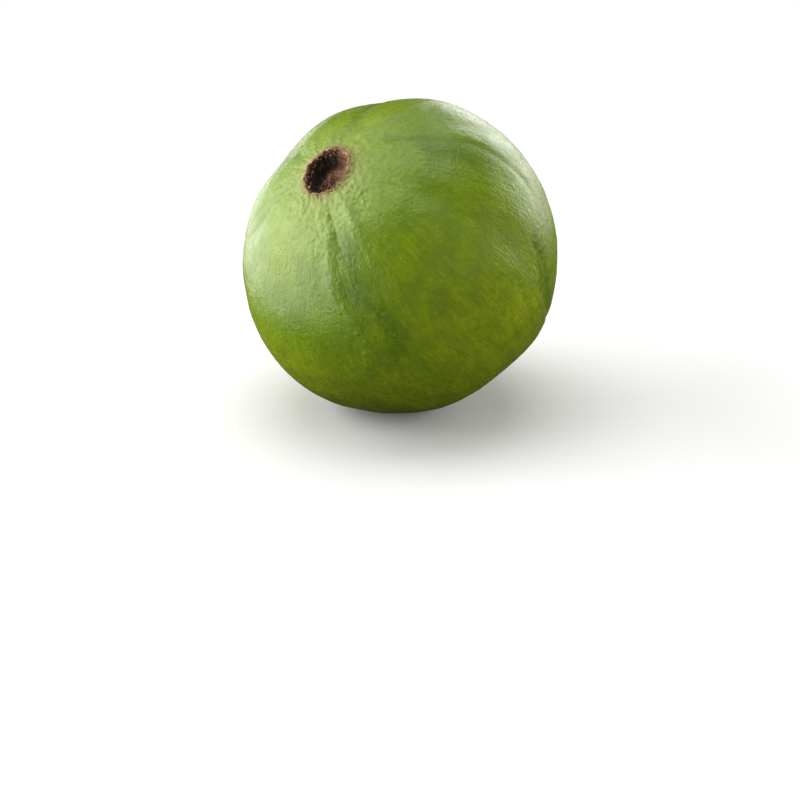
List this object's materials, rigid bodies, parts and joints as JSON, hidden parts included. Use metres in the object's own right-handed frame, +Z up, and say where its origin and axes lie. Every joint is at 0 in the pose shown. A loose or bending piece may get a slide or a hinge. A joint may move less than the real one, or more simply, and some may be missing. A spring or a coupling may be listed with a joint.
{
  "type": "guava",
  "caption": "Whole round green guava with soft lobes, a dry calyx cup with a crumbly rim, and a small corky stem scar, resting on a small flat spot.",
  "frame": {"origin": "on the resting surface, under the middle of the fruit's width and depth, on the flat spot that the fruit rests on", "axes": "+Z up as the fruit lies; +Y away from the side it is seen from, +X to that side's right; the calyx end leans 40 degrees from upright towards -X and -Y"},
  "size_m": [0.0746, 0.075, 0.0738],
  "materials": {
    "skin": "smooth waxy yellow-green fruit skin, satin, with fine streaks and pores",
    "calyx": "dry brown fibrous calyx tissue, matt, with tan flakes on the rim",
    "stem_scar": "dry corky scar, matt brown"
  },
  "bodies": {
    "root": {"guava": "skin"}
  },
  "joints": []
}
